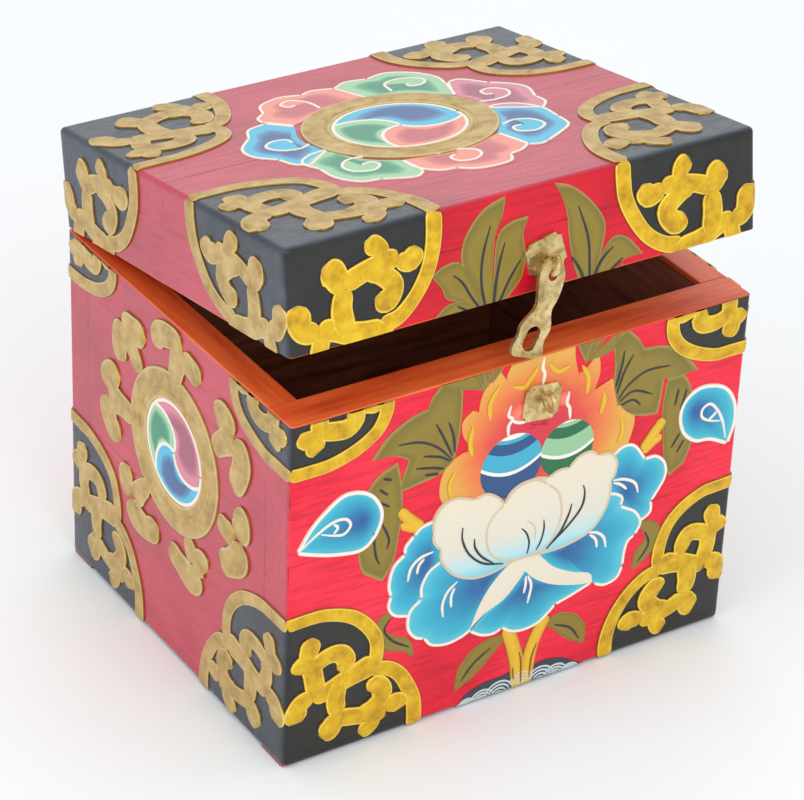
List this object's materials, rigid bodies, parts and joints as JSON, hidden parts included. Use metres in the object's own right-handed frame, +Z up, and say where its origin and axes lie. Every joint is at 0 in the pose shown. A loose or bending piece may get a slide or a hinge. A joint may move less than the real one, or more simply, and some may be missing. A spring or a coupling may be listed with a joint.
{
  "type": "jack in the box",
  "caption": "Hand-painted hinged wooden box with a deep lid, a swinging brass hasp and staple on the front, and a sprung figure that rises from the floor inside as the lid opens.",
  "frame": {"origin": "middle of the box body's flat underside", "axes": "+Z up; the hasp side faces -Y; +X to the right when looking at the hasp side"},
  "size_m": [0.15, 0.1369, 0.1591],
  "materials": {
    "painted_boards": "crimson gloss paint over carved boards",
    "rim_paint": "thin orange paint on the rim",
    "black_paint": "varnished black paint",
    "gold_paint": "gold paint on raised paste",
    "picture_paint": "hand-shaded gloss paint",
    "bare_wood": "dark stained softwood",
    "brass_fittings": "stamped and tumbled",
    "steel_wire": "drawn",
    "sleeve_cloth": "woven cotton",
    "ruff_cloth": "pleated cotton",
    "cap_felt": "pressed wool felt",
    "face_paint": "satin paint on turned wood",
    "nose_paint": "gloss paint on turned wood"
  },
  "bodies": {
    "box": {"body_front_board": "painted_boards", "body_back_board": "painted_boards", "body_left_board": "painted_boards", "body_right_board": "painted_boards", "body_floor_board": "bare_wood", "body_corner_nails": "steel_wire", "floor_nails": "steel_wire", "hinge_left_body_leaf": "brass_fittings", "hinge_right_body_leaf": "brass_fittings", "hinge_left_pin": "brass_fittings", "hinge_right_pin": "brass_fittings", "hinge_body_screws": "brass_fittings", "staple_plate": "brass_fittings", "staple_eye": "brass_fittings", "jack_base": "bare_wood", "jack_base_screws": "steel_wire", "spring_staples": "steel_wire", "jack_spring": "steel_wire", "jack_sleeve": "sleeve_cloth"},
    "lid": {"lid_front_board": "painted_boards", "lid_back_board": "painted_boards", "lid_left_board": "painted_boards", "lid_right_board": "painted_boards", "lid_front_plank": "painted_boards", "lid_back_plank": "painted_boards", "lid_plank_nails": "steel_wire", "lid_corner_nails": "steel_wire", "hinge_left_lid_leaf": "brass_fittings", "hinge_right_lid_leaf": "brass_fittings", "hinge_lid_screws": "brass_fittings", "hasp_plate": "brass_fittings"},
    "swivel_eye": {"hasp_eye": "brass_fittings"},
    "strap": {"hasp_strap": "brass_fittings"},
    "jack": {"jack_plunger": "bare_wood", "jack_ruff": "ruff_cloth", "jack_head": "face_paint", "jack_nose": "nose_paint", "jack_cap": "cap_felt", "jack_bells": "brass_fittings"}
  },
  "joints": [
    {"name": "lid_hinge", "type": "hinge", "parent": "box", "child": "lid", "pos_m": [0, 0.0646, 0.1101], "axis": [-1, 0, 0], "range_deg": [-8.8, 96]},
    {"name": "hasp_swivel", "type": "hinge", "parent": "lid", "child": "swivel_eye", "pos_m": [0.0043, -0.05976, 0.13755], "axis": [0, 0.9882, -0.153], "range_deg": [-20, 40]},
    {"name": "hasp_lift", "type": "hinge", "parent": "swivel_eye", "child": "strap", "pos_m": [0.0043, -0.06401, 0.13821], "axis": [-0.9397, 0.0523, 0.338], "range_deg": [0, 110]},
    {"name": "jack_pop", "type": "slide", "parent": "box", "child": "jack", "axis": [0, 0, 1], "range_m": [-0.00885, 0.0961], "deforming": ["jack_spring", "jack_sleeve"]}
  ],
  "couplings": [
    {"joint": "jack_pop", "follows": "lid_hinge", "m_per_rad": 0.057296}
  ]
}
